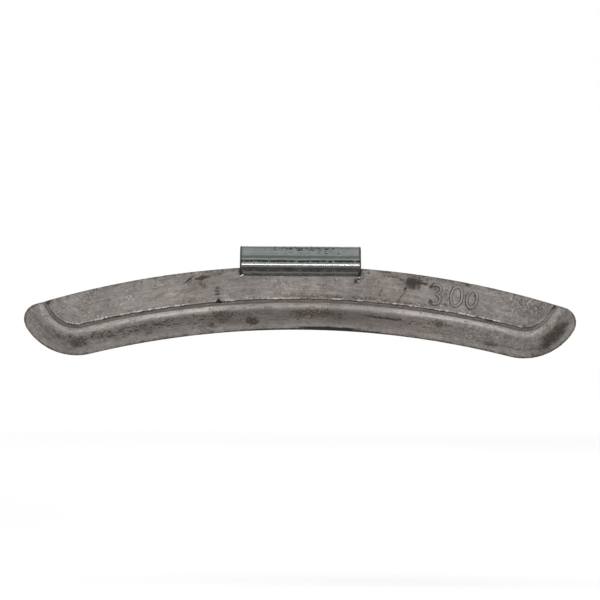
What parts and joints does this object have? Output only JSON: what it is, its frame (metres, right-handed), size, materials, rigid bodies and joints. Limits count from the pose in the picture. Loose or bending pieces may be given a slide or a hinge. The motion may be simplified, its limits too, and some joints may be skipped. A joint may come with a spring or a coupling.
{
  "type": "wheel balance weight",
  "caption": "Curved lead balance weight with a flat raised land, a rounded bead round its lower edge and ends, and a spring steel clip that grips a rim's lip.",
  "frame": {"origin": "mid-length of the casting's top edge, level with the land's face, where the rim's lip seats under the clip", "axes": "+X along the weight, +Y from the land towards the wheel, the way the rim's lip leaves the clip's mouth, +Z outwards from the wheel's axis, so the marked land faces -Y"},
  "size_m": [0.116, 0.0096, 0.0234],
  "materials": {
    "cast_lead": "matte",
    "plated_steel": "satin"
  },
  "bodies": {
    "root": {"cast_body": "cast_lead", "spring_clip": "plated_steel"}
  },
  "joints": []
}
